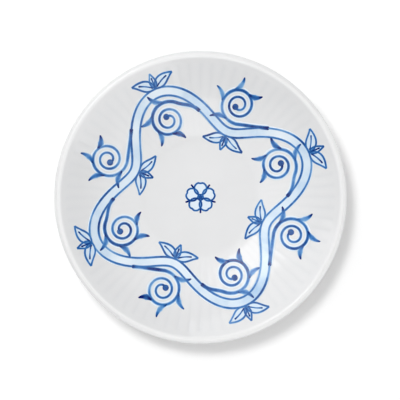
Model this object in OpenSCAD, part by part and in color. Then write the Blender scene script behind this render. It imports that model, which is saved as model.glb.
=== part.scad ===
// Small round porcelain dish for soy sauce, with a ribbed inside, a rolled lip and a foot ring.
// The origin is in the middle of the plane that the foot ring stands on. Millimetres, Z up.

/* [Dish] */
// Diameter over the glazed lip
dish_d = 90; // [80:1:105]
// Height from the table to the top of the lip
dish_h = 20; // [17:0.5:24]
// Diameter of the flat, plain middle of the inside
middle_d = 36; // [26:1:38]
// Thickness of the porcelain wall, without its glaze
wall_t = 2; // [1.6:0.1:2.6]
// Thickness of the porcelain under the middle, without its glaze
floor_t = 2.2; // [1.8:0.1:3]
// How much thicker the rolled lip is than the wall, before glazing
lip_extra = 0.16; // [0.14:0.02:0.6]
// Width of the plain band under the lip, from the edge of the lip inward
band_w = 3.8; // [3.4:0.1:8]

/* [Ribs] */
// Number of ribs round the inside, with a groove between each two
rib_count = 72; // [48:1:90]
// Share of the pitch that a groove takes, the rest being rib
groove_share = 0.24; // [0.15:0.01:0.4]
// Depth of a groove at its outer end
groove_depth = 0.14; // [0.06:0.01:0.2]
// How far the outer ends of the grooves run into the plain band
groove_run_out = 0.4; // [0.2:0.1:1]

/* [Foot] */
// Outer diameter of the foot ring
foot_d = 44; // [38:1:52]
// Width of the foot ring
foot_w = 2.8; // [2.2:0.1:4]
// Height of the foot ring, which is the depth of the well under the floor
foot_h = 2.8; // [2.2:0.1:4]
// Rounding of the two bottom edges of the foot ring
foot_round = 0.7; // [0.3:0.1:1]
// Height of the bare strip at the bottom of the foot ring
bare_h = 1; // [1:0.1:1.6]

/* [Glaze] */
// Thickness of the clear glaze
glaze_t = 0.3; // [0.25:0.01:0.4]

/* [Hidden] */
$fa = 3;
$fs = 0.3;

// Middle of the lip's round cross-section
lip_r = (wall_t + lip_extra) / 2;
lip_x = dish_d / 2 - glaze_t - lip_r;
lip_z = dish_h - glaze_t - lip_r;

// Hollow: one sphere at half thickness of the wall, through the middle of the lip and through the edge
// of the flat middle
middle_r = middle_d / 2;
floor_top = foot_h + floor_t;
edge_z = floor_top - wall_t / 2;
hollow_z = (lip_x ^ 2 - middle_r ^ 2 + lip_z ^ 2 - edge_z ^ 2) / (2 * (lip_z - edge_z));
half_way_rad = norm([middle_r, hollow_z - edge_z]);
in_rad = half_way_rad - wall_t / 2;
out_rad = half_way_rad + wall_t / 2;
middle_angle = asin(middle_r / half_way_rad);
lip_angle = asin(lip_x / half_way_rad);

// Plain band under the lip
band_r = dish_d / 2 - band_w;
band_angle = asin(band_r / in_rad);
// How far the band stands proud of the ribs
band_step = 0.05;

// Foot ring
foot_r = foot_d / 2;
well_r = foot_r - foot_w;
// Least width of the flat that the ring stands on
foot_flat_min = 0.4;

// Grooves between the ribs: each is a thin slice of the wall. Its bottom is a sphere that touches the
// hollow at the axis of the dish, so that a groove is widest and deepest at its outer end.
pitch = 360 / rib_count;
groove_angle = pitch * groove_share;
groove_end_r = band_r + groove_run_out;
// How far the inner ends of the grooves run into the edge of the flat middle
groove_run_in = 0.15;

// Round outline about the centre of the hollow
module hollow_disc(rad) {
    translate([0, hollow_z])
        circle(rad);
}

// Sector of the half section about the centre of the hollow, between two angles from straight down
module sector(from_angle, to_angle) {
    reach = 2 * out_rad;
    polygon([
        [0, hollow_z],
        [reach * sin(from_angle), hollow_z - reach * cos(from_angle)],
        [reach * sin(to_angle), hollow_z - reach * cos(to_angle)],
    ]);
}

// Wall between two spheres, from an angle to the lip
module wall_profile(from_rad, to_rad, from_angle) {
    intersection() {
        difference() {
            hollow_disc(to_rad);
            hollow_disc(from_rad);
        }
        sector(from_angle, lip_angle);
    }
}

// Wall with the plain band, between the outside sphere and the hollow with a coat of this thickness
module banded_wall_profile(coat, to_rad) {
    wall_profile(in_rad - coat, to_rad, middle_angle);
    wall_profile(in_rad - coat - band_step, to_rad, band_angle);
}

module lip_profile(rad) {
    translate([lip_x, lip_z])
        circle(rad);
}

// Half cross-section of the porcelain: wall, lip, floor and the land that the foot ring is luted to
module body_profile() {
    banded_wall_profile(0, out_rad);
    lip_profile(lip_r);
    translate([0, foot_h])
        square([middle_r, floor_t]);
    difference() {
        translate([0, foot_h])
            square([foot_r, dish_h - foot_h]);
        hollow_disc(half_way_rad);
    }
}

// Everything that lies outside the half thickness of the wall and below the middle of the lip
module outer_side() {
    difference() {
        square([dish_d, lip_z]);
        hollow_disc(half_way_rad);
    }
}

module foot_profile() {
    rounding = min(foot_round, (foot_w - foot_flat_min) / 2);
    translate([well_r, rounding])
        square([foot_w, foot_h - rounding]);
    translate([well_r + rounding, 0])
        square([foot_w - 2 * rounding, rounding]);
    for (x = [well_r + rounding, foot_r - rounding])
        translate([x, rounding])
            circle(rounding);
}

// Half cross-section of the inner coat, down to the half thickness of the wall that it lies on
module inner_coat_profile() {
    difference() {
        union() {
            banded_wall_profile(glaze_t, half_way_rad);
            lip_profile(lip_r + glaze_t);
            translate([0, foot_h])
                square([middle_r, floor_t + glaze_t]);
        }
        outer_side();
    }
}

module outer_glaze_profile() {
    intersection() {
        difference() {
            union() {
                wall_profile(half_way_rad, out_rad + glaze_t, middle_angle);
                lip_profile(lip_r + glaze_t);
                translate([0, bare_h])
                    square([foot_r + glaze_t, lip_z - bare_h]);
            }
            body_profile();
            square([foot_r, foot_h]);
        }
        outer_side();
    }
}

module foot_well_glaze_profile() {
    difference() {
        translate([0, bare_h])
            square([well_r, foot_h - bare_h]);
        square([well_r - glaze_t, foot_h - glaze_t]);
    }
}

// Slice of one groove in the hollow, or in a coat of this thickness on it
module groove_profile(coat) {
    rad = in_rad - coat;
    middle_edge_r = sqrt(rad ^ 2 - (hollow_z - floor_top - coat) ^ 2);
    start_angle = asin((middle_edge_r - groove_run_in) / rad);
    end_angle = asin(groove_end_r / rad);
    shift = groove_depth / (1 - cos(end_angle));
    intersection() {
        difference() {
            translate([0, hollow_z + shift])
                circle(rad + shift);
            hollow_disc(rad - glaze_t / 2);
        }
        sector(start_angle, end_angle);
    }
}

module grooves(coat) {
    for (i = [0 : rib_count - 1])
        rotate([0, 0, i * pitch - groove_angle / 2])
            rotate_extrude(angle = groove_angle)
                groove_profile(coat);
}

module dish_body() {
    color("white")
        difference() {
            rotate([0, 0, pitch / 2])
                rotate_extrude()
                    body_profile();
            grooves(0);
        }
}

module foot_ring() {
    color("linen")
        rotate_extrude()
            foot_profile();
}

// The coat fills the grooves of the body and has the same grooves itself
module inner_glaze() {
    color("ghostwhite")
        difference() {
            rotate([0, 0, pitch / 2])
                rotate_extrude()
                    inner_coat_profile();
            dish_body();
            grooves(glaze_t);
        }
}

module outer_glaze() {
    color("ghostwhite")
        rotate_extrude()
            outer_glaze_profile();
}

module foot_well_glaze() {
    color("ghostwhite")
        rotate_extrude()
            foot_well_glaze_profile();
}

dish_body();
foot_ring();
inner_glaze();
outer_glaze();
foot_well_glaze();
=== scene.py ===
"""Glazed, hand-painted skin for a small ribbed porcelain dish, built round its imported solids."""

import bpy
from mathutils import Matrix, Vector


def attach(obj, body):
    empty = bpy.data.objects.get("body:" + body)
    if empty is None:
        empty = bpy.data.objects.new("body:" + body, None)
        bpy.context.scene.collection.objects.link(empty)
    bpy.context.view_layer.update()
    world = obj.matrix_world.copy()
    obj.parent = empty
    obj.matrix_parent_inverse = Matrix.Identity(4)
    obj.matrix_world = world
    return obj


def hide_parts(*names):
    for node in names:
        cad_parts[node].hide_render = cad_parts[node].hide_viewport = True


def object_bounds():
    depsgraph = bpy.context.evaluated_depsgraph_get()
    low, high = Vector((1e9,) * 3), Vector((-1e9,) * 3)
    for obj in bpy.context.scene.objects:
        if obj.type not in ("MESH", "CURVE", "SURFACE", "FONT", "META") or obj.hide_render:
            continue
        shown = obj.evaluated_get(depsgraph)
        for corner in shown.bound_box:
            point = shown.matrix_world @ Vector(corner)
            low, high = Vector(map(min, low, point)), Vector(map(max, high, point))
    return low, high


bl_info = {
    "name": "Painted porcelain dish",
    "version": (1, 0, 0),
    "blender": (4, 5, 0),
    "location": "3D View > Sidebar > Dish",
    "description": "Glaze, brushwork and studio stage for a small ribbed dish",
    "category": "Object",
}

import math
from types import SimpleNamespace

import bpy
import numpy as np
from bpy.props import FloatProperty, FloatVectorProperty, IntProperty, PointerProperty
from mathutils import Vector, noise

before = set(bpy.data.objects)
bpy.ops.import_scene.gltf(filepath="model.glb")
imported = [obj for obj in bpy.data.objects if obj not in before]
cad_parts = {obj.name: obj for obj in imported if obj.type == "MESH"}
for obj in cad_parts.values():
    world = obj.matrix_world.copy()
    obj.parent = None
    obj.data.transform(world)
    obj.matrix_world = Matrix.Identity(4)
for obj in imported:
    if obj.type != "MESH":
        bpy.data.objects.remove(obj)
CAD_LOW, CAD_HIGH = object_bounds()
MM = 0.001
# Sides of the picture in pixels, and width of the camera's sensor in millimetres
PHOTO_SIDE = 400
SENSOR_MM = 36.0


def length(name, description, default):
    """A size in metres that the panel shows as a length."""
    return FloatProperty(name=name, description=description, default=default, min=0.0,
                         precision=5, subtype="DISTANCE", unit="LENGTH")


def brightness(name, description, default):
    """How bright a light is."""
    return FloatProperty(name=name, description=description, default=default, min=0.0)


def pixels(name, description, default):
    """A place or a size in the picture."""
    return FloatProperty(name=name, description=description, default=default, subtype="PIXEL")


def colour(name, description, default):
    """A scene colour."""
    return FloatVectorProperty(name=name, description=description, default=default, size=3,
                               min=0.0, max=1.0, subtype="COLOR")


def linear(red, green, blue):
    """Scene colour of a screen colour given from 0 to 255."""
    made = []
    for value in (red, green, blue):
        v = value / 255.0
        made.append(v / 12.92 if v <= 0.04045 else ((v + 0.055) / 1.055) ** 2.4)
    return tuple(made)


class DishForm(bpy.types.PropertyGroup):
    """Sizes of the dish, and of the soft forms of its glaze."""
    dish_d: length("Diameter", "Over the glazed lip", CAD_HIGH.x - CAD_LOW.x)
    dish_h: length("Height", "From the table to the top of the lip", CAD_HIGH.z - CAD_LOW.z)
    middle_d: length("Middle", "Diameter of the flat middle", 36 * MM)
    wall_t: length("Wall", "Thickness of the porcelain wall", 2.0 * MM)
    floor_t: length("Floor", "Thickness of the porcelain floor", 2.2 * MM)
    lip_extra: length("Lip bead", "How much thicker the lip is than the wall", 0.16 * MM)
    band_w: length("Plain band", "Band under the lip, from the edge inward", 3.8 * MM)
    foot_d: length("Foot", "Outer diameter of the foot ring", 44 * MM)
    foot_w: length("Foot width", "Width of the foot ring", 2.8 * MM)
    foot_h: length("Foot height", "Depth of the well under the floor", 2.8 * MM)
    bare_h: length("Bare strip", "Unglazed height at the bottom of the foot", 1.0 * MM)
    glaze_t: length("Glaze", "Thickness of the glaze", 0.3 * MM)
    rib_count: IntProperty(name="Ribs", description="Ribs round the hollow", default=72, min=12, max=120)
    rib_depth: length("Groove depth", "Depth of the glazed grooves at their outer ends", 0.075 * MM)
    crest_r: length("Lip crest", "Rounding of the crest of the lip", 0.85 * MM)
    crest_in: length("Crest inset", "How far the crest lies in from the edge", 1.40 * MM)
    edge_r: length("Lip edge", "Rounding of the outer edge of the lip", 0.7 * MM)
    flank: FloatProperty(name="Lip flank", description="Slope of the lip from its crest to its edge",
                         default=math.radians(43.5), subtype="ANGLE", unit="ROTATION")
    crease: length("Crease", "Softness of the edge of the flat middle", 0.28 * MM)


class DishFinish(bpy.types.PropertyGroup):
    """Colours of the glaze, the bare porcelain and the blue."""
    glaze: colour("Glaze", "Glazed porcelain", (0.670, 0.671, 0.674))
    # Painted shade: darker colour in the grooves and on the lip's outer flank, partly glaze that pools
    # thicker there
    pooled_and_shade: colour("Pooled glaze", "Thicker glaze in the grooves", (0.647, 0.650, 0.657))
    # Lighter colour on the lip's crest: glaze run thin there, and a painted highlight
    thin: colour("Thin glaze", "Glaze run thin over the lip", (0.696, 0.697, 0.699))
    bisque: colour("Bare porcelain", "Ground edge of the foot", (0.66, 0.62, 0.55))
    blue_breath: colour("Breath of blue", "Edge of a wash", linear(219, 226, 233))
    blue_pale: colour("Pale blue", "Thin wash", linear(204, 217, 228))
    blue_light: colour("Light blue", "Watery stroke", linear(122, 167, 208))
    blue_mid: colour("Blue", "Full stroke", linear(46, 105, 170))
    blue_dark: colour("Dark blue", "Pooled stroke", linear(1, 22, 98))
    gloss: FloatProperty(name="Roughness", description="Roughness of the fired glaze", default=0.07,
                         min=0.0, max=1.0, subtype="FACTOR")


class DishStage(bpy.types.PropertyGroup):
    """Camera, floor and lights."""
    lip_px: pixels("Lip radius", "Radius of the lip in the picture", 146.2)
    centre_x: pixels("Centre X", "Middle of the dish, from the left of the picture", 200.5)
    centre_y: pixels("Centre Y", "Middle of the dish, from the top of the picture", 197.3)
    lens: FloatProperty(name="Lens", description="Focal length", default=200.0,
                        subtype="DISTANCE_CAMERA", unit="CAMERA")
    floor: colour("Floor", "Pale floor", (0.86, 0.86, 0.86))
    room_light: brightness("Room light", "Soft light from all sides", 0.648)
    room_shine: brightness("Room shine", "How bright the walls are in the gloss", 0.7)


# Form of the glaze

# How far the rounded grooves run into the plain band
GROOVE_RUN_OUT = 0.2 * MM
# Share of a groove's depth that is its narrow middle, and width of that as a share of the pitch
GROOVE_NARROW, GROOVE_WIDTH = 0.3, 0.13
# How a groove deepens outward: in step with the radius at 1, sooner below 1
GROOVE_GROWTH = 0.8
# How far before and past the grooves' outer ends they fade out, and the wall eases towards the lip
GROOVE_FADE = (0.5 * MM, 0.4 * MM)
BAND_FADE = (1.1 * MM, 0.7 * MM)
# Rounding of the lip's crest, from its top down each side: up to which slope, and as a share of crest_r
INNER_CREST = ((math.radians(19), 0.48), (math.radians(32.5), 2.50), (math.radians(90), 0.30))
OUTER_CREST = ((math.radians(14), 0.48), (math.radians(27), 2.50), (math.radians(90), 0.40))
CREST_POINTS = 27
# Gap between the back of a coat and the porcelain that it lies on
CLEAR = 0.01 * MM


def dish_lines():
    """The lengths that follow from the sizes: spheres of the wall, middle of the lip, and so on."""
    p = bpy.context.scene.dish_form
    f = SimpleNamespace()
    f.lip_r = (p.wall_t + p.lip_extra) / 2
    f.lip_x = p.dish_d / 2 - p.glaze_t - f.lip_r
    f.lip_z = p.dish_h - p.glaze_t - f.lip_r
    f.bead = f.lip_r + p.glaze_t
    f.middle_r = p.middle_d / 2
    f.floor_top = p.foot_h + p.floor_t
    edge_z = f.floor_top - p.wall_t / 2
    f.hollow_z = (f.lip_x ** 2 - f.middle_r ** 2 + f.lip_z ** 2 - edge_z ** 2) / (2 * (f.lip_z - edge_z))
    f.half_rad = math.hypot(f.middle_r, f.hollow_z - edge_z)
    f.in_rad = f.half_rad - p.wall_t / 2
    f.out_rad = f.half_rad + p.wall_t / 2
    f.glazed_in = f.in_rad - p.glaze_t
    f.glazed_out = f.out_rad + p.glaze_t
    f.glazed_floor = f.floor_top + p.glaze_t
    f.crest_x = p.dish_d / 2 - p.crest_in
    crest_z = p.dish_h - p.crest_r
    f.to_crest = math.hypot(f.crest_x, f.hollow_z - crest_z)
    f.band_ease = f.to_crest - p.crest_r - f.glazed_in
    f.rib_end = p.dish_d / 2 - p.band_w + GROOVE_RUN_OUT
    f.foot_r = p.foot_d / 2
    f.well_r = f.foot_r - p.foot_w
    return f


def circle_meet(f, sphere, lip):
    """Where a sphere about the hollow's centre meets a round lip, towards the wall, as (radius, height)."""
    along = (f.half_rad ** 2 + lip ** 2 - sphere ** 2) / (2 * f.half_rad)
    aside = math.sqrt(lip ** 2 - along ** 2)
    nx, nz = -f.lip_x / f.half_rad, (f.hollow_z - f.lip_z) / f.half_rad
    return f.lip_x + along * nx - aside * nz, f.lip_z + along * nz + aside * nx


def arc(cx, cz, rad, start, end, steps):
    """Points of an arc, with angles in degrees."""
    return [(cx + rad * math.cos(math.radians(a)), cz + rad * math.sin(math.radians(a)))
            for a in np.linspace(start, end, steps)]


def wall_arc(f, rad, start_r, end_r, steps):
    """Points of a sphere about the hollow's centre, from one radius of the dish to another."""
    return [(rad * math.sin(a), f.hollow_z - rad * math.cos(a))
            for a in np.linspace(math.asin(start_r / rad), math.asin(end_r / rad), steps)]


def smooth(low, high, value):
    """0 up to low, 1 from high on, and a soft rise between them."""
    t = np.clip((value - low) / (high - low), 0.0, 1.0)
    return t * t * (3 - 2 * t)


def groove_share(p, theta):
    """1 in the middle of a groove, 0 on the crest of a rib."""
    turn = np.asarray(theta) * p.rib_count / (2 * math.pi)
    phase = np.abs((turn + 0.5) % 1.0 - 0.5)
    narrow = np.exp(-(phase / GROOVE_WIDTH) ** 2)
    broad = (1 + np.cos(2 * math.pi * phase)) / 2
    return GROOVE_NARROW * narrow + (1 - GROOVE_NARROW) * broad


def rib_depth_at(p, f, r):
    """Depth of the grooves at a radius."""
    grow = np.clip((r - f.middle_r) / (f.rib_end - f.middle_r), 0.0, 1.0)
    stop = 1 - smooth(f.rib_end - GROOVE_FADE[0], f.rib_end + GROOVE_FADE[1], r)
    return p.rib_depth * grow ** GROOVE_GROWTH * stop


def inside_height(r, theta):
    """Height of the glazed inside at a radius and a direction, up to the crest of the lip."""
    p, f = bpy.context.scene.dish_form, dish_lines()
    r, theta = np.asarray(r, float), np.asarray(theta, float)
    wall = f.hollow_z - np.sqrt(f.glazed_in ** 2 - r ** 2)
    z = 0.5 * (wall + f.glazed_floor + np.sqrt((wall - f.glazed_floor) ** 2 + p.crease ** 2))
    z = z - rib_depth_at(p, f, r) * groove_share(p, theta)
    slant = np.sqrt(1 - (r / f.glazed_in) ** 2)
    return z - f.band_ease / slant * smooth(f.rib_end - BAND_FADE[0], f.rib_end + BAND_FADE[1], r)


def crest_run(p, slope):
    """How far the crest has run aside and down from its top, where it has this slope."""
    aside, down, low = 0.0, 0.0, 0.0
    for high, rounding in INNER_CREST if slope < 0 else OUTER_CREST:
        end = min(max(abs(slope), low), high)
        aside += rounding * p.crest_r * (math.sin(end) - math.sin(low))
        down += rounding * p.crest_r * (math.cos(low) - math.cos(end))
        low = high
    return math.copysign(aside, slope), down


def lip_line():
    """Points over the lip, from the wall over its crest to halfway down its edge, as (radius, height)."""
    p, f = bpy.context.scene.dish_form, dish_lines()
    wall_slope = math.asin(f.crest_x / f.to_crest)
    runs = [crest_run(p, slope) for slope in np.linspace(-wall_slope, p.flank, CREST_POINTS)]
    line = [(f.crest_x + aside, p.dish_h - down) for aside, down in runs]
    end_r, end_z = line[-1]
    run = (p.dish_d / 2 - p.edge_r * (1 - math.sin(p.flank)) - end_r) / math.cos(p.flank)
    edge_z = end_z - run * math.sin(p.flank) - p.edge_r * math.cos(p.flank)
    line.append((end_r + 0.5 * run * math.cos(p.flank), end_z - 0.5 * run * math.sin(p.flank)))
    line += arc(p.dish_d / 2 - p.edge_r, edge_z, p.edge_r, 90 - math.degrees(p.flank), 0.0, steps=6)
    return line + [(p.dish_d / 2, f.lip_z)]


# Meshes

def mesh_piece(name, verts, faces, material):
    """A new mesh object on the dish, with its material."""
    mesh = bpy.data.meshes.new(name)
    mesh.from_pydata([tuple(v) for v in verts], [], faces)
    mesh.validate()
    mesh.update()
    mesh.polygons.foreach_set("use_smooth", [True] * len(mesh.polygons))
    piece = bpy.data.objects.new(name, mesh)
    bpy.context.scene.collection.objects.link(piece)
    mesh.materials.append(material)
    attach(piece, "root")
    return piece


def set_values(mesh, name, values):
    """One number for each vertex, which the material reads by its name."""
    attribute = mesh.attributes.new(name, "FLOAT", "POINT")
    attribute.data.foreach_set("value", np.asarray(values, np.float32))


def ring_faces(rings, around):
    """Faces between the rings of a turned skin. A ring is a count of points: 1 on the axis, or around."""
    faces = []
    starts = [0, *np.cumsum(rings).tolist()]
    for a, b, here, there in zip(starts, starts[1:], rings, rings[1:]):
        for i in range(around):
            j = (i + 1) % around
            if here == 1:
                faces.append((a, b + i, b + j))
            elif there == 1:
                faces.append((a + i, b, a + j))
            else:
                faces.append((a + i, b + i, b + j, a + j))
    return faces


# Materials

# Sockets of a Mix node for colours: share of the second colour, both colours, and the result
MIX_SHARE, MIX_FIRST, MIX_SECOND, MIX_RESULT = 0, 6, 7, 2
# Sockets of a Mix node for numbers, likewise
MIX_FIRST_NUMBER, MIX_SECOND_NUMBER, MIX_NUMBER = 2, 3, 0
GLAZE_IOR = 1.55


def new_material(name):
    """A new material, with its nodes, its links and its shader."""
    material = bpy.data.materials.new(name)
    material.use_nodes = True
    nodes, links = material.node_tree.nodes, material.node_tree.links
    return material, nodes, links, nodes["Principled BSDF"]


def noise_node(nodes, links, scale, detail, roughness=0.5):
    """Noise that is fixed to the piece."""
    place = nodes.new("ShaderNodeTexCoord")
    made = nodes.new("ShaderNodeTexNoise")
    made.inputs["Scale"].default_value = scale
    made.inputs["Detail"].default_value = detail
    made.inputs["Roughness"].default_value = roughness
    links.new(place.outputs["Object"], made.inputs["Vector"])
    return made.outputs["Fac"]


def ramp_node(nodes, links, value, stops):
    """The colour of a value, from a ramp with a stop at each (place, colour)."""
    made = nodes.new("ShaderNodeValToRGB")
    ramp = made.color_ramp
    while len(ramp.elements) < len(stops):
        ramp.elements.new(0.5)
    for element, (place, rgb) in zip(ramp.elements, stops):
        element.position = place
        element.color = (*rgb, 1.0)
    links.new(value, made.inputs["Fac"])
    return made.outputs["Color"]


def range_node(nodes, links, value, low, high, to_low, to_high):
    """A value that went from low to high, spread from to_low to to_high."""
    made = nodes.new("ShaderNodeMapRange")
    made.inputs["From Min"].default_value = low
    made.inputs["From Max"].default_value = high
    made.inputs["To Min"].default_value = to_low
    made.inputs["To Max"].default_value = to_high
    links.new(value, made.inputs["Value"])
    return made.outputs["Result"]


def values_node(nodes, name):
    """The vertex values of that name."""
    made = nodes.new("ShaderNodeAttribute")
    made.attribute_name = name
    return made.outputs["Fac"]


def tinted(nodes, links, base, name, rgb):
    """The base colour, turned to another one as far as the vertex values of that name say."""
    mix = nodes.new("ShaderNodeMix")
    mix.data_type = "RGBA"
    mix.inputs[MIX_SECOND].default_value = (*rgb, 1.0)
    links.new(values_node(nodes, name), mix.inputs[MIX_SHARE])
    links.new(base, mix.inputs[MIX_FIRST])
    return mix.outputs[MIX_RESULT]


def add_bump(nodes, links, shader, height, strength, distance):
    """Fine relief on the shader."""
    bump = nodes.new("ShaderNodeBump")
    bump.inputs["Strength"].default_value = strength
    bump.inputs["Distance"].default_value = distance
    links.new(height, bump.inputs["Height"])
    links.new(bump.outputs["Normal"], shader.inputs["Normal"])


def shade_of(rgb, factor):
    """A colour made darker or lighter."""
    return tuple(min(1.0, c * factor) for c in rgb)


def glaze_material():
    """Clear gloss glaze on white porcelain: cloudy by a hair, cooler where it pools, with painted shade in
    the grooves and on the lip's outer flank, and whiter on the lip's crest, partly thin glaze and partly a
    painted highlight.
    """
    finish = bpy.context.scene.dish_finish
    material, nodes, links, shader = new_material("porcelain_glaze")
    cloud = noise_node(nodes, links, scale=90.0, detail=3.0)
    clouded = ramp_node(nodes, links, cloud, [(0.3, shade_of(finish.glaze, 0.985)),
                                              (0.7, shade_of(finish.glaze, 1.012))])
    # Painted shade in the grooves and on the lip's outer flank
    pooled_and_shade = tinted(nodes, links, clouded, "pool_and_shade", finish.pooled_and_shade)
    # Painted highlight on the lip's crest, partly thin glaze
    coat = tinted(nodes, links, pooled_and_shade, "thin", finish.thin)
    links.new(coat, shader.inputs["Base Color"])
    shader.inputs["Roughness"].default_value = finish.gloss
    shader.inputs["IOR"].default_value = GLAZE_IOR
    ripple = noise_node(nodes, links, scale=260.0, detail=2.0)
    add_bump(nodes, links, shader, ripple, strength=0.12, distance=0.04 * MM)
    return material


def bisque_material():
    """Bare fired porcelain, ground smooth: matt and a little warm, with fine grain."""
    finish = bpy.context.scene.dish_finish
    material, nodes, links, shader = new_material("bare_porcelain")
    grain = noise_node(nodes, links, scale=1400.0, detail=4.0, roughness=0.6)
    tone = ramp_node(nodes, links, grain, [(0.32, shade_of(finish.bisque, 0.88)),
                                           (0.68, shade_of(finish.bisque, 1.06))])
    links.new(tone, shader.inputs["Base Color"])
    wear = noise_node(nodes, links, scale=300.0, detail=2.0)
    links.new(range_node(nodes, links, wear, 0.0, 1.0, 0.45, 0.75), shader.inputs["Roughness"])
    add_bump(nodes, links, shader, grain, strength=0.35, distance=0.06 * MM)
    return material


def body_material():
    """White porcelain under the glaze."""
    finish = bpy.context.scene.dish_finish
    material, nodes, links, shader = new_material("white_porcelain")
    grain = noise_node(nodes, links, scale=700.0, detail=3.0)
    tone = ramp_node(nodes, links, grain, [(0.3, shade_of(finish.glaze, 0.96)),
                                           (0.7, shade_of(finish.glaze, 1.02))])
    links.new(tone, shader.inputs["Base Color"])
    shader.inputs["Roughness"].default_value = 0.5
    add_bump(nodes, links, shader, grain, strength=0.2, distance=0.04 * MM)
    return material


def blue_material():
    """Brushed cobalt: watery along a stroke, darker where the brush rested, with the glaze's gloss."""
    finish = bpy.context.scene.dish_finish
    material, nodes, links, shader = new_material("brushed_cobalt")
    water = noise_node(nodes, links, scale=520.0, detail=3.0, roughness=0.6)
    total = nodes.new("ShaderNodeMath")
    total.operation = "MULTIPLY"
    links.new(values_node(nodes, "tone"), total.inputs[0])
    links.new(range_node(nodes, links, water, 0.25, 0.75, 0.86, 1.14), total.inputs[1])
    blues = [(0.0, finish.blue_breath), (0.14, finish.blue_pale), (0.42, finish.blue_light),
             (0.68, finish.blue_mid), (1.0, finish.blue_dark)]
    links.new(ramp_node(nodes, links, total.outputs["Value"], blues), shader.inputs["Base Color"])
    shader.inputs["Roughness"].default_value = finish.gloss
    shader.inputs["IOR"].default_value = GLAZE_IOR
    return material


def once(name, make):
    """The material of that name, made the first time it is asked for."""
    return bpy.data.materials.get(name) or make()


# Glaze skins

# Places across a rib and its groove, as shares of the pitch from the middle of a groove
GROOVE_PHASES = (0.0, 0.06, 0.12, 0.2, 0.33, 0.5, 0.67, 0.8, 0.88, 0.94)
# Rings of the inside skin: on the flat as shares of its radius, round its edge and under the lip in mm
FLAT_RINGS = (1 / 6, 4 / 9, 13 / 18)
EDGE_RINGS = (-2.3, -1.3, -0.7, -0.2, 0.3, 0.9, 1.7)
BAND_RINGS = (-1.0, -0.7, -0.4, -0.2, 0.0, 0.2, 0.4, 0.7, 1.1)
# Rings on the ribs: how far from the edge of the flat and from the ends of the grooves, and how many
RIB_RINGS_IN, RIB_RINGS_OUT, RIB_RINGS = 2.7 * MM, 1.4 * MM, 18
# Back of the inside skin: points round the lip and down the wall, and the flat as a share of the middle
BACK_LIP_POINTS, BACK_WALL_POINTS, BACK_FLAT = 7, 9, 0.99
# Where the glaze that ran thin over the crest, with its painted highlight, thickens again into the painted
# shade of the flank: past the crest, and before the edge
RUN_OFF = (0.3 * MM, 0.2 * MM)
# Share of the painted shade on the lip's outer flank
FLANK_PAINTED_SHADE = 0.8
# Outside skin: points round it, fillet over the foot, and angle down to which it follows the round lip
OUTSIDE_POINTS, FOOT_FILLET, LIP_UNDER = 288, 1.2 * MM, -52.0
# Well skin: points round it, rounding of its corner, and rings on its flat
WELL_POINTS, WELL_CORNER, WELL_RINGS = 224, 0.7 * MM, (4 * MM, 9 * MM, 14 * MM)
# Rounding of a coat's edge above the bare strip, and how far its middle point lies off its corner
COAT_EDGE, COAT_EDGE_MIDDLE = 0.14 * MM, 0.3


class DISH_OT_dress_solids(bpy.types.Operator):
    """Give the porcelain body and the bare foot ring their finishes"""
    bl_idname = "dish.dress_solids"
    bl_label = "Dress the solids"

    def execute(self, context):
        for node, name, make in (("dish_body", "white_porcelain", body_material),
                                 ("foot_ring", "bare_porcelain", bisque_material)):
            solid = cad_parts[node]
            solid.data.materials.clear()
            solid.data.materials.append(once(name, make))
        return {"FINISHED"}


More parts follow.
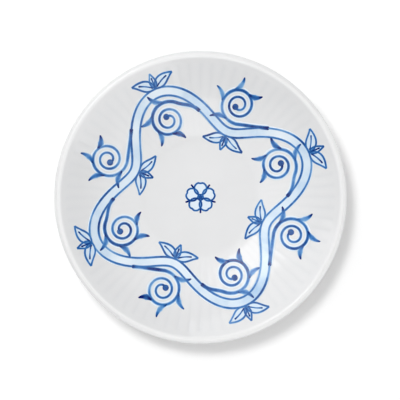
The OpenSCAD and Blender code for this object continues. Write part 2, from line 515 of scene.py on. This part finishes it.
class DISH_OT_glaze_inside(bpy.types.Operator):
    """Coat the hollow: flat middle, ribs with rounded grooves, plain band and lip"""
    bl_idname = "dish.glaze_inside"
    bl_label = "Glaze the inside"

    def execute(self, context):
        p, f = context.scene.dish_form, dish_lines()
        pitch = 2 * math.pi / p.rib_count
        theta = np.array([(k + phase) * pitch for k in range(p.rib_count) for phase in GROOVE_PHASES])
        around = len(theta)
        rings, verts, pool_and_shade, thin = [], [], [], []

        def add_ring(r, z, pooling_and_shade=0.0, thinness=0.0):
            turns = theta if r > 0 else theta[:1]
            rings.append(len(turns))
            verts.extend(zip(r * np.cos(turns), r * np.sin(turns), np.broadcast_to(z, turns.shape)))
            pool_and_shade.extend(np.broadcast_to(pooling_and_shade, turns.shape))
            thin.extend([thinness] * len(turns))

        add_ring(0.0, inside_height(0.0, 0.0))
        radii = [part * f.middle_r for part in FLAT_RINGS]
        radii += [f.middle_r + step * MM for step in EDGE_RINGS]
        radii += list(np.linspace(f.middle_r + RIB_RINGS_IN, f.rib_end - RIB_RINGS_OUT, RIB_RINGS))
        radii += [f.rib_end + step * MM for step in BAND_RINGS]
        for r in radii:
            # Painted shade in the grooves, as deep as each groove is
            add_ring(r, inside_height(r, theta), groove_share(p, theta) * rib_depth_at(p, f, r) / p.rib_depth)
        # Over the lip: a painted highlight with thin glaze on the crest, painted shade on the outer flank
        for r, z in lip_line():
            outward = float(smooth(f.crest_x + RUN_OFF[0], p.dish_d / 2 - RUN_OFF[1], r))
            add_ring(r, z, FLANK_PAINTED_SHADE * outward, 1 - outward)

        back_lip, back_rad, back_z = f.lip_r + CLEAR, f.in_rad - CLEAR, f.floor_top + CLEAR
        low = circle_meet(f, back_rad, back_lip)
        turn = math.degrees(math.atan2(low[1] - f.lip_z, low[0] - f.lip_x))
        for r, z in arc(f.lip_x, f.lip_z, back_lip, 0.0, turn, BACK_LIP_POINTS):
            add_ring(r, z)
        for r in np.linspace(low[0], f.middle_r, BACK_WALL_POINTS)[1:]:
            add_ring(r, f.hollow_z - math.sqrt(back_rad ** 2 - r ** 2))
        add_ring(f.middle_r * BACK_FLAT, back_z)
        add_ring(0.0, back_z)
        piece = mesh_piece("glaze_inside", verts, ring_faces(rings, around),
                           once("porcelain_glaze", glaze_material))
        set_values(piece.data, "pool_and_shade", pool_and_shade)
        set_values(piece.data, "thin", thin)
        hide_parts("inner_glaze")
        return {"FINISHED"}


def turned_piece(name, profile, around):
    """A coat turned from a half section of (radius, height) points, from axis to axis or closed on itself."""
    theta = full_turn(around)
    rings, verts = [], []
    for r, z in profile:
        turns = theta if r > 0 else theta[:1]
        rings.append(len(turns))
        verts.extend(zip(r * np.cos(turns), r * np.sin(turns), np.full(len(turns), z)))
    faces = ring_faces(rings, around)
    if rings[0] == around:
        last = len(verts) - around
        faces += [(last + i, i, (i + 1) % around, last + (i + 1) % around) for i in range(around)]
    return mesh_piece(name, verts, faces, once("porcelain_glaze", glaze_material))


class DISH_OT_glaze_outside(bpy.types.Operator):
    """Coat the outside, from the lip down to the bare strip of the foot, with a soft fillet above the foot"""
    bl_idname = "dish.glaze_outside"
    bl_label = "Glaze the outside"

    def execute(self, context):
        p, f = context.scene.dish_form, dish_lines()
        sleeve = f.foot_r + p.glaze_t
        reach = f.glazed_out + FOOT_FILLET
        fillet_x = sleeve + FOOT_FILLET
        fillet_z = f.hollow_z - math.sqrt(reach ** 2 - fillet_x ** 2)
        tilt = math.degrees(math.atan2(f.hollow_z - fillet_z, -fillet_x))
        profile = arc(f.lip_x, f.lip_z, f.bead, 0.0, LIP_UNDER, steps=9)
        lip_foot = circle_meet(f, f.glazed_out, f.bead)[0]
        profile += wall_arc(f, f.glazed_out, lip_foot, f.glazed_out * fillet_x / reach, steps=22)
        profile += arc(fillet_x, fillet_z, FOOT_FILLET, tilt, 180.0, steps=7)[1:]
        off = COAT_EDGE_MIDDLE * COAT_EDGE
        profile += [(sleeve, (fillet_z + p.bare_h) / 2), (sleeve, p.bare_h + COAT_EDGE)]
        profile += [(sleeve - off, p.bare_h + off), (sleeve - COAT_EDGE, p.bare_h)]

        back_r, back_rad, back_lip = f.foot_r + CLEAR, f.out_rad + CLEAR, f.lip_r + CLEAR
        profile += [(back_r, p.bare_h), (back_r, p.foot_h)]
        profile += wall_arc(f, back_rad, back_r, circle_meet(f, back_rad, back_lip)[0], steps=9)
        profile += arc(f.lip_x, f.lip_z, back_lip, LIP_UNDER, 0.0, steps=5)
        piece = turned_piece("glaze_outside", profile, OUTSIDE_POINTS)
        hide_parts("outer_glaze")
        return {"FINISHED"}


class DISH_OT_glaze_well(bpy.types.Operator):
    """Coat the well under the floor, with a soft corner and a thin edge above the bare strip"""
    bl_idname = "dish.glaze_well"
    bl_label = "Glaze the foot well"

    def execute(self, context):
        p, f = context.scene.dish_form, dish_lines()
        skin = f.well_r - p.glaze_t
        top = p.foot_h - p.glaze_t
        profile = [(r, top) for r in (0.0, *WELL_RINGS, skin - 2 * WELL_CORNER)]
        profile += arc(skin - WELL_CORNER, top - WELL_CORNER, WELL_CORNER, 90.0, 0.0, steps=8)
        off = COAT_EDGE_MIDDLE * COAT_EDGE
        profile += [(skin, p.bare_h + COAT_EDGE), (skin + off, p.bare_h + off), (skin + COAT_EDGE, p.bare_h)]
        back_r, back_z = f.well_r - CLEAR, p.foot_h - CLEAR
        profile += [(back_r, p.bare_h), (back_r, back_z), (0.0, back_z)]
        piece = turned_piece("glaze_foot_well", profile, WELL_POINTS)
        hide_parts("foot_well_glaze")
        return {"FINISHED"}


# Brush

# How deep a film of blue reaches into the glaze, and how much thinner it is at its edges
FILM_ROOT = 0.15 * MM
EDGE_THINNING = 0.4
# Steps along and across a stroke, the fewest points across it, and the least share of its width at an end
STROKE_STEP, ACROSS_STEP, ACROSS_LEAST, END_LEAST = 0.28 * MM, 0.3 * MM, 5, 0.06
# Extra points close to a stroke's round ends, as shares of half its width
END_POINTS = np.array([0.05, 0.15, 0.3, 0.5, 0.75])
# Slow changes of a stroke's width and tone: length of one, and the two places where its noise is read
WIDTH_DRIFT = (5 * MM, 7.31, 0.5)
TONE_DRIFT = (7 * MM, 3.17, 9.5)
TONE_DRIFT_MOST = 0.3
# How far from the seam of a closed stroke these changes are still held back
SEAM_FADE = 6 * MM
# How far the blue spreads where the brush rested
REST_RUN = 1.3 * MM
# A wash: step along its outline, rings inside it as shares of it, and the tone and thickness of its edge
WASH_STEP, WASH_RINGS = 0.4 * MM, (0.86, 0.7, 0.52, 0.34, 0.16)
WASH_EDGE_TONE, WASH_EDGE_LIFT = 0.06, 0.6


class Brush:
    """Gathers strokes and washes that lie on the glazed inside, each a thin closed film."""

    def __init__(self, lift):
        self.lift, self.verts, self.faces, self.tones = lift, [], [], []

    def stroke(self, path, width, tone, closed=False, seed=0, wobble=0.1, rest=0.42, bleed=0.5):
        """A brushed line along flat points, as wide as width says at a share of its length.
        Its tone is deeper where the brush rested at the ends, and bleeds out at the edges."""
        width = width if callable(width) else even(width)
        path = respaced(path, STROKE_STEP, closed)
        if not closed:
            path = with_end_points(path, width(0.5) / 2)
        run = run_of(path, closed)
        total, run = run[-1], run[:len(path)]
        fade = smooth(0.0, SEAM_FADE, np.minimum(run, total - run)) if closed else 1.0
        w = np.array([width(x / total) for x in run])
        w *= 1 + wobble * fade * drift(run, seed, *WIDTH_DRIFT)
        tones = tone + min(tone, TONE_DRIFT_MOST) * fade * drift(run, seed, *TONE_DRIFT)
        if not closed:
            for d in (run, total - run):
                x = np.clip(d / (w / 2), 0.0, 1.0)
                w = w * np.maximum(np.sqrt(1 - (1 - x) ** 2), END_LEAST)
                tones += rest * np.exp(-(d / REST_RUN) ** 2)
        across = max(ACROSS_LEAST, int(math.ceil(float(np.max(w)) / ACROSS_STEP)) + 1)
        u = np.linspace(-1.0, 1.0, across)
        grid = path[:, None, :] + normals(path, closed)[:, None, :] * (w[:, None] / 2 * u[None, :])[..., None]
        edge = -bleed * np.abs(u) ** 3
        self.rows(grid, tones[:, None] + edge[None, :], closed)

    def rows(self, grid, tones, closed):
        """A film on rows of flat points, one row across it for each step along it."""
        n, across = grid.shape[:2]
        z = height_at(grid)
        side = np.linspace(-1.0, 1.0, across)
        top = z + self.lift * (1 - EDGE_THINNING * side[None, :] ** 4)
        base = z[:, [-1, 0]] - FILM_ROOT
        first = len(self.verts)
        wide = across + 2
        for i in range(n):
            self.verts.extend(zip(grid[i, :, 0], grid[i, :, 1], top[i]))
            self.verts.append((*grid[i, -1], base[i, 0]))
            self.verts.append((*grid[i, 0], base[i, 1]))
            self.tones.extend(tones[i])
            self.tones.extend((tones[i][-1], tones[i][0]))
        for i in range(n if closed else n - 1):
            a, b = first + i * wide, first + ((i + 1) % n) * wide
            for k in range(wide):
                m = (k + 1) % wide
                self.faces.append((a + k, b + k, b + m, a + m))
        if not closed:
            last = first + (n - 1) * wide
            self.faces.append(tuple(first + k for k in range(wide)))
            self.faces.append(tuple(last + k for k in reversed(range(wide))))

    def wash(self, outline, tone):
        """A filled patch inside a rounded outline, a little deeper and thinner at its edge."""
        outline = respaced(outline, WASH_STEP, True)
        centre, n = outline.mean(0), len(outline)
        first = len(self.verts)
        self.film_ring(outline, tone + WASH_EDGE_TONE, self.lift * WASH_EDGE_LIFT)
        for part in WASH_RINGS:
            self.film_ring(centre + (outline - centre) * part, tone, self.lift)
        inmost, peak = first + n * len(WASH_RINGS), len(self.verts)
        self.film_ring(centre[None, :], tone, self.lift)
        low = len(self.verts)
        self.film_ring(outline, tone, -FILM_ROOT)
        self.film_ring(centre[None, :], tone, -FILM_ROOT)
        pairs = [(i, (i + 1) % n) for i in range(n)]
        for a in range(first, inmost, n):
            self.faces += [(a + i, a + j, a + n + j, a + n + i) for i, j in pairs]
        self.faces += [(inmost + i, inmost + j, peak) for i, j in pairs]
        for i, j in pairs:
            self.faces.append((first + j, first + i, low + i, low + j))
            self.faces.append((low + j, low + i, low + n))

    def film_ring(self, points, tone, lift):
        """Points of a wash, at a height over the glaze."""
        self.verts.extend(zip(points[:, 0], points[:, 1], height_at(points) + lift))
        self.tones.extend([tone] * len(points))

    def finish(self, name):
        """Make the piece with all that was brushed."""
        piece = mesh_piece(name, self.verts, self.faces, once("brushed_cobalt", blue_material))
        set_values(piece.data, "tone", self.tones)


def height_at(points):
    """Height of the glazed inside at flat points."""
    x, y = points[..., 0], points[..., 1]
    return inside_height(np.hypot(x, y), np.arctan2(y, x))


def even(width):
    """A width that is the same all along."""
    return lambda along: width


def swelling(start, middle, end):
    """A width that goes from start through middle to end."""
    return lambda x: start + (middle - start) * min(1.0, 2 * x) + (end - middle) * max(0.0, 2 * x - 1)


def drift(run, seed, span, seed_step, row):
    """A slow change along a line, which is the same each time for a seed."""
    return np.array([noise.noise(Vector((s / span, seed * seed_step, row))) for s in run])


def run_of(path, closed):
    """Length along a line up to each of its points, and back to the first one if it is closed."""
    points = np.vstack([path, path[:1]]) if closed else path
    return np.concatenate([[0.0], np.cumsum(np.hypot(*np.diff(points, axis=0).T))])


def points_along(path, run, at):
    """Points of a line at these lengths along it."""
    return np.stack([np.interp(at, run, path[:, 0]), np.interp(at, run, path[:, 1])], 1)


def respaced(path, step, closed):
    """The same line with points about a step apart."""
    run = run_of(path, closed)
    count = max(3, int(round(run[-1] / step)))
    at = np.linspace(0.0, run[-1], count + 1)
    if closed:
        return points_along(np.vstack([path, path[:1]]), run, at)[:-1]
    return points_along(path, run, at)


def with_end_points(path, half_width):
    """The same line with more points close to its two ends, for round ends."""
    run = run_of(path, False)
    near = half_width * END_POINTS
    return points_along(path, run, np.unique(np.concatenate([run, near, run[-1] - near])))


def normals(path, closed):
    """Direction to the left of a line at each of its points."""
    t = np.roll(path, -1, 0) - np.roll(path, 1, 0) if closed else np.gradient(path, axis=0)
    return np.stack([-t[:, 1], t[:, 0]], 1) / np.hypot(t[:, 0], t[:, 1])[:, None]


def polar(r, theta):
    """Flat points at a radius and a direction."""
    return np.stack([np.asarray(r) * np.cos(theta), np.asarray(r) * np.sin(theta)], -1)


def unit(angle):
    """A step of 1 in a direction."""
    return np.array([math.cos(angle), math.sin(angle)])


def full_turn(count):
    """Directions all round."""
    return np.linspace(0.0, 2 * math.pi, count, endpoint=False)


# Brushwork

# How far each kind of film stands on the glaze, so that the one painted later covers the other
BREATH_LIFT, VINE_WASH_LIFT, VINE_LIFT = 0.006 * MM, 0.011 * MM, 0.02 * MM
WASH_LIFT, LINE_LIFT = 0.012 * MM, 0.022 * MM
# The stem: bends to each side, circle it winds round, swing, half its width, its points and its brushes
WAVES = 4
STEM_R = 28.6 * MM
STEM_SWING = 6.4 * MM
STEM_HALF = 1.35 * MM
STEM_POINTS, STEM_STEP = 1200, 0.3 * MM
STEM_WASH_W = 2 * STEM_HALF + 1.2 * MM
STEM_LINE_W = 0.78 * MM
# The curls: radius, distance from the stem, turns, how far and how evenly they close, where they branch off
CURL_R = 5.9 * MM
CURL_IN = 8.9 * MM
CURL_TURNS = 2.15 * 2 * math.pi
CURL_CLOSE, CURL_EASE = 0.8, 0.85
CURL_POINTS = 170
BRANCH_LEAD = 0.03
CURL_W = swelling(1.25 * MM, 1.0 * MM, 0.8 * MM)
CURL_BREATH_W = swelling(2.0 * MM, 1.8 * MM, 1.4 * MM)
CURL_DOT_R = 1.0 * MM
DOT_POINTS = 24
# The commas along a curl: how far round it and how long in mm each is, then their lean, bend and width
COMMAS = ((0.55, 6.0), (1.6, 5.8), (2.65, 5.5), (3.7, 5.0))
COMMA_LEAN, COMMA_BEND = 1.1, 1.2
COMMA_W = swelling(0.7 * MM, 1.9 * MM, 0.4 * MM)
# The leaves of a sprig: the lean and the length in mm of each, then their gap from the stem and their form
SPRIG = ((0.0, 4.6), (1.15, 7.2), (-1.15, 7.2))
LEAF_GAP = 0.2 * MM
LEAF_POINTS = 26
LEAF_PLUMP, LEAF_BELLY, LEAF_TAPER, LEAF_BEND = 0.25, 0.8, 0.35, 0.6
LEAF_LINE_W, VEIN_W = 0.7 * MM, 0.55 * MM
VEIN_PART = slice(2, -7)
# The blossom: petals, their radius and distance from the middle, the notch in each, stamens and eye
PETALS, PETAL_POINTS = 5, 40
PETAL_R, PETAL_OUT, PETAL_W = 1.95 * MM, 2.75 * MM, 0.66 * MM
NOTCH_DEPTH, NOTCH_SPREAD = 0.16, 0.09
STAMEN_START, STAMEN_END, STAMEN_W, STAMEN_POINTS = 3.1 * MM, 5.0 * MM, 0.6 * MM, 9
EYE_R = 0.72 * MM
# Tones of the blue, from 0 for a breath of it to 1 for the darkest
BREATH_TONE, STEM_WASH_TONE, COMMA_TONE, VINE_TONE, CURL_DOT_TONE = 0.1, 0.16, 0.68, 0.76, 0.86
LEAF_WASH_TONE, LEAF_TONE, VEIN_TONE = 0.16, 0.78, 0.7
PETAL_WASH_TONE, PETAL_TONE, STAMEN_TONE, EYE_TONE = 0.1, 0.86, 0.85, 0.88


def stem_path():
    """Middle line of the stem, all round."""
    theta = full_turn(STEM_POINTS)
    return polar(STEM_R + STEM_SWING * np.sin(WAVES * theta), theta)


def stem_at(theta):
    """Point of the stem and the direction it runs in."""
    r = STEM_R + STEM_SWING * math.sin(WAVES * theta)
    dr = STEM_SWING * WAVES * math.cos(WAVES * theta)
    x, y = dr * unit(theta) + r * unit(theta + math.pi / 2)
    return polar(r, theta), math.atan2(y, x)


def bends():
    """The bends of the stem: the side each swings to, 1 for outward and -1 for inward, and its direction."""
    return [(1.0 if k % 2 == 0 else -1.0, (k + 0.5) * math.pi / WAVES) for k in range(2 * WAVES)]


def bend_line(start, heading, end, end_heading, pull=0.45, steps=40):
    """A smooth line between two points with given directions."""
    reach = pull * np.hypot(*(end - start))
    a, b = start + reach * unit(heading), end - reach * unit(end_heading)
    t = np.linspace(0.0, 1.0, steps)[:, None]
    return (1 - t) ** 3 * start + 3 * (1 - t) ** 2 * t * a + 3 * (1 - t) * t ** 2 * b + t ** 3 * end


def curl_radius(turn):
    """Radius of a curl when it has turned so far."""
    return CURL_R * (1 - CURL_CLOSE * (turn / CURL_TURNS) ** CURL_EASE)


def tendrils():
    """The curls of the vine, one in each bend: line, middle, side it winds to, and direction of its start."""
    made = []
    for k, (side, bend) in enumerate(bends()):
        middle = polar(STEM_R + side * (STEM_SWING - CURL_IN), bend)
        point, heading = stem_at(k * math.pi / WAVES - BRANCH_LEAD)
        start = point + side * STEM_HALF * unit(heading + math.pi / 2)
        away = middle - start
        run_in = math.atan2(away[1], away[0]) - side * math.asin(CURL_R / np.hypot(*away))
        touch = run_in - side * math.pi / 2
        stalk = bend_line(start, heading, middle + CURL_R * unit(touch), run_in)
        turn = np.linspace(0.0, CURL_TURNS, CURL_POINTS)
        line = np.vstack([stalk[:-1], middle + polar(curl_radius(turn), touch + side * turn)])
        made.append(SimpleNamespace(line=line, middle=middle, side=side, touch=touch))
    return made


def bowed_line(base, heading, size, bend):
    """A line that turns by bend on its way, and its direction at each point."""
    turn = heading + bend * np.linspace(-0.5, 0.5, LEAF_POINTS)
    steps = polar(np.full(LEAF_POINTS, size / (LEAF_POINTS - 1)), turn)
    return base + np.vstack([np.zeros((1, 2)), np.cumsum(steps[1:], axis=0)]), turn


def leaf(base, heading, size, bend):
    """A leaf: two bowed sides from its base to its tip, as one closed outline, and its vein."""
    vein, turn = bowed_line(base, heading, size, bend)
    s = np.linspace(0.0, 1.0, LEAF_POINTS)
    half = LEAF_PLUMP * size * np.sin(math.pi * s ** LEAF_BELLY) * (1 - LEAF_TAPER * s)
    aside = polar(half, turn + math.pi / 2)
    return np.vstack([vein + aside, (vein - aside)[-2:0:-1]]), vein


def sprigs():
    """Three leaves on the outer side of each bend of the stem: (outline, vein)."""
    made = []
    for side, bend in bends():
        outward = bend if side > 0 else bend + math.pi
        base = polar(STEM_R + side * (STEM_SWING + STEM_HALF), bend)
        for lean, size in SPRIG:
            heading = outward + lean
            made.append(leaf(base + LEAF_GAP * unit(heading), heading, size * MM, LEAF_BEND * np.sign(lean)))
    return made


def commas():
    """Short swelling strokes along the curls: (line, seed)."""
    made = []
    for k, curl in enumerate(tendrils()):
        for j, (turn, size) in enumerate(COMMAS):
            angle = curl.touch + curl.side * turn
            base = curl.middle + curl_radius(turn) * unit(angle)
            heading = angle + curl.side * COMMA_LEAN
            line = bowed_line(base, heading, size * MM, -curl.side * COMMA_BEND)[0]
            made.append((line, 200 + 10 * k + j))
    return made


def dot(centre, radius):
    """Outline of a round dot."""
    return centre + polar(np.full(DOT_POINTS, radius), full_turn(DOT_POINTS))


class DISH_OT_paint_vine(bpy.types.Operator):
    """Brush the winding stem, outlined and washed, with a curl in each bend"""
    bl_idname = "dish.paint_vine"
    bl_label = "Paint the vine"

    def execute(self, context):
        path = respaced(stem_path(), STEM_STEP, True)
        breath, wash, lines = Brush(BREATH_LIFT), Brush(VINE_WASH_LIFT), Brush(VINE_LIFT)
        for k, curl in enumerate(tendrils()):
            breath.stroke(curl.line, CURL_BREATH_W, BREATH_TONE, seed=150 + k, rest=0.0, bleed=0.1)
        breath.finish("vine_breath")
        wash.stroke(path, STEM_WASH_W, STEM_WASH_TONE, closed=True, seed=1, wobble=0.03, bleed=0.16)
        wash.finish("vine_wash")
        for k, offset in enumerate((-STEM_HALF, STEM_HALF)):
            lines.stroke(path + normals(path, True) * offset, STEM_LINE_W, VINE_TONE, closed=True, seed=2 + k)
        for k, curl in enumerate(tendrils()):
            lines.stroke(curl.line, CURL_W, VINE_TONE, seed=10 + k)
            lines.wash(dot(curl.line[-1], CURL_DOT_R), CURL_DOT_TONE)
        for line, seed in commas():
            lines.stroke(line, COMMA_W, COMMA_TONE, seed=seed)
        lines.finish("vine_lines")
        return {"FINISHED"}


class DISH_OT_paint_leaves(bpy.types.Operator):
    """Brush the leaves: pale wash, outline and vein"""
    bl_idname = "dish.paint_leaves"
    bl_label = "Paint the leaves"

    def execute(self, context):
        wash, lines = Brush(WASH_LIFT), Brush(LINE_LIFT)
        for k, (outline, vein) in enumerate(sprigs()):
            wash.wash(outline, LEAF_WASH_TONE)
            lines.stroke(outline, LEAF_LINE_W, LEAF_TONE, closed=True, seed=30 + k)
            lines.stroke(vein[VEIN_PART], VEIN_W, VEIN_TONE, seed=60 + k)
        wash.finish("leaf_wash")
        lines.finish("leaf_lines")
        return {"FINISHED"}


class DISH_OT_paint_blossom(bpy.types.Operator):
    """Brush the small blossom in the middle: washed petals, outlines, stamens and a dark eye"""
    bl_idname = "dish.paint_blossom"
    bl_label = "Paint the blossom"

    def execute(self, context):
        wash, lines = Brush(WASH_LIFT), Brush(LINE_LIFT)
        a = full_turn(PETAL_POINTS)
        notch = 1 - NOTCH_DEPTH * np.exp(-((a + math.pi) % (2 * math.pi) - math.pi) ** 2 / NOTCH_SPREAD)
        for k in range(PETALS):
            turn = math.pi / 2 + k * 2 * math.pi / PETALS
            petal = polar(PETAL_R * notch, a + turn) + PETAL_OUT * unit(turn)
            wash.wash(petal, PETAL_WASH_TONE)
            lines.stroke(petal, PETAL_W, PETAL_TONE, closed=True, seed=110 + k)
            stamen = np.linspace(STAMEN_START, STAMEN_END, STAMEN_POINTS)
            lines.stroke(polar(stamen, turn + math.pi / PETALS), STAMEN_W, STAMEN_TONE, seed=120 + k)
        lines.wash(dot(np.zeros(2), EYE_R), EYE_TONE)
        wash.finish("blossom_wash")
        lines.finish("blossom_lines")
        return {"FINISHED"}


# Stage

# Azimuth from +X and elevation in degrees, width and height in metres, watts, whether it lights the
# surfaces, and whether it shows in their gloss
SOFTBOXES = {
    "key_glow": (129.0, 44.3, 0.31, 0.38, 0.68, False, True),
    "key_feather": (129.0, 40.0, 0.75, 0.50, 0.92, False, True),
    "low_softbox": (120.0, 27.0, 0.50, 0.22, 0.98, True, False),
    "horizon_glow": (127.0, 13.0, 1.50, 0.36, 1.62, False, True),
    "top_softbox": (128.0, 76.0, 0.14, 0.14, 3.50, True, False),
    "overhead": (0.0, 89.9, 0.50, 0.50, 0.97, True, False),
    "front_glow": (-90.0, 47.0, 0.40, 0.38, 0.53, False, True),
    "fill_card": (-50.0, 14.0, 0.70, 0.20, 0.70, True, False),
    "low_fill": (-50.0, 4.0, 0.70, 0.08, 1.00, True, False),
    "edge_glow_right": (-4.0, 2.6, 1.50, 0.075, 0.70, False, True),
    "edge_glow_front": (-84.0, 2.6, 1.50, 0.075, 0.70, False, True),
    "fill_glow": (-50.0, 25.0, 0.90, 0.50, 0.99, False, True),
    "side_softbox": (-165.0, 35.0, 0.40, 0.40, 0.26, True, False),
}
LIGHT_REACH = 0.9
LIGHT_AIM = Vector((0.0, 0.0, 0.01))
# Half the side of the floor, and how far it lies under the foot ring so that the two don't share a plane
FLOOR_HALF, FLOOR_DROP = 1.5, 0.02 * MM
# Where the walls of the room are lit in the gloss, by the height of a ray's direction
WALLS_RISE, WALLS_FALL = (0.35, 0.65), (0.84, 0.95)


def lay_floor(scene):
    """The pale floor."""
    corners = [(x * FLOOR_HALF, y * FLOOR_HALF, 0.0) for x, y in ((-1, -1), (1, -1), (1, 1), (-1, 1))]
    mesh = bpy.data.meshes.new("floor")
    mesh.from_pydata(corners, [], [(0, 1, 2, 3)])
    floor = bpy.data.objects.new("floor", mesh)
    floor.location.z = -FLOOR_DROP
    scene.collection.objects.link(floor)
    material, _, _, shader = new_material("pale_floor")
    shader.inputs["Base Color"].default_value = (*scene.dish_stage.floor, 1.0)
    shader.inputs["Roughness"].default_value = 0.9
    mesh.materials.append(material)


def light_room(scene):
    """Soft light from all sides, with walls of their own brightness in the gloss."""
    stage = scene.dish_stage
    world = bpy.data.worlds.new("studio")
    world.use_nodes = True
    nodes, links = world.node_tree.nodes, world.node_tree.links
    room = nodes["Background"]
    room.inputs["Color"].default_value = (1.0, 1.0, 1.0, 1.0)
    ray, way = nodes.new("ShaderNodeLightPath"), nodes.new("ShaderNodeTexCoord")
    rise = nodes.new("ShaderNodeSeparateXYZ")
    dark, lit = (0.0,) * 3, (stage.room_shine,) * 3
    links.new(way.outputs["Generated"], rise.inputs["Vector"])
    stops = list(zip((*WALLS_RISE, *WALLS_FALL), (dark, lit, lit, dark)))
    pick = nodes.new("ShaderNodeMix")
    pick.inputs[MIX_FIRST_NUMBER].default_value = stage.room_light
    links.new(ray.outputs["Is Glossy Ray"], pick.inputs[MIX_SHARE])
    links.new(ramp_node(nodes, links, rise.outputs["Z"], stops), pick.inputs[MIX_SECOND_NUMBER])
    links.new(pick.outputs[MIX_NUMBER], room.inputs["Strength"])
    scene.world = world


def hang_softbox(scene, name, azimuth, elevation, wide, high, watts, diffuse, gloss):
    """A rectangular light that faces the dish."""
    light = bpy.data.lights.new(name, "AREA")
    light.shape = "RECTANGLE"
    light.size, light.size_y = wide, high
    light.energy = watts
    a, e = math.radians(azimuth), math.radians(elevation)
    lamp = bpy.data.objects.new(name, light)
    lamp.location = LIGHT_REACH * Vector((math.cos(a) * math.cos(e), math.sin(a) * math.cos(e), math.sin(e)))
    lamp.rotation_euler = (LIGHT_AIM - lamp.location).to_track_quat("-Z", "Y").to_euler()
    lamp.visible_diffuse, lamp.visible_glossy = diffuse, gloss
    scene.collection.objects.link(lamp)


def place_camera(scene):
    """The camera straight over the dish, which it shows at its place and size in the picture."""
    stage = scene.dish_stage
    lens = bpy.data.cameras.new("camera")
    lens.lens = stage.lens
    lens.sensor_width = SENSOR_MM
    lens.sensor_fit = "HORIZONTAL"
    lens.dof.use_dof = False
    lens.clip_start, lens.clip_end = 0.01, 20.0
    pixel = scene.dish_form.dish_d / 2 / stage.lip_px
    aside_x, aside_y = PHOTO_SIDE / 2 - stage.centre_x, stage.centre_y - PHOTO_SIDE / 2
    distance = stage.lens / SENSOR_MM * PHOTO_SIDE * pixel
    camera = bpy.data.objects.new("camera", lens)
    camera.location = (aside_x * pixel, aside_y * pixel, dish_lines().lip_z + distance)
    scene.collection.objects.link(camera)
    scene.camera = camera


class DISH_OT_build_stage(bpy.types.Operator):
    """Set the pale floor, the soft lights and the camera that looks straight down"""
    bl_idname = "dish.build_stage"
    bl_label = "Build the stage"

    def execute(self, context):
        scene = context.scene
        lay_floor(scene)
        light_room(scene)
        for name, facts in SOFTBOXES.items():
            hang_softbox(scene, name, *facts)
        place_camera(scene)
        scene.view_settings.view_transform = "Standard"
        scene.view_settings.look = "None"
        return {"FINISHED"}


class DISH_PT_panel(bpy.types.Panel):
    """Sizes, finishes and steps of the painted dish"""
    bl_idname = "DISH_PT_panel"
    bl_label = "Painted dish"
    bl_space_type = "VIEW_3D"
    bl_region_type = "UI"
    bl_category = "Dish"

    def draw(self, context):
        layout = self.layout
        for group in (context.scene.dish_form, context.scene.dish_finish, context.scene.dish_stage):
            box = layout.box()
            for name in group.__annotations__:
                box.prop(group, name)
        for step in STEPS:
            layout.operator(step.bl_idname)


GROUPS = {"dish_form": DishForm, "dish_finish": DishFinish, "dish_stage": DishStage}
STEPS = (DISH_OT_dress_solids, DISH_OT_glaze_inside, DISH_OT_glaze_outside, DISH_OT_glaze_well,
         DISH_OT_paint_vine, DISH_OT_paint_leaves, DISH_OT_paint_blossom, DISH_OT_build_stage)


def register():
    for made in (*GROUPS.values(), *STEPS, DISH_PT_panel):
        bpy.utils.register_class(made)
    for name, group in GROUPS.items():
        setattr(bpy.types.Scene, name, PointerProperty(type=group))


def unregister():
    for name in GROUPS:
        delattr(bpy.types.Scene, name)
    for made in (DISH_PT_panel, *reversed(STEPS), *reversed(list(GROUPS.values()))):
        bpy.utils.unregister_class(made)


def main():
    register()
    for step in STEPS:
        family, name = step.bl_idname.split(".")
        getattr(getattr(bpy.ops, family), name)()


if __name__ == "__main__":
    main()
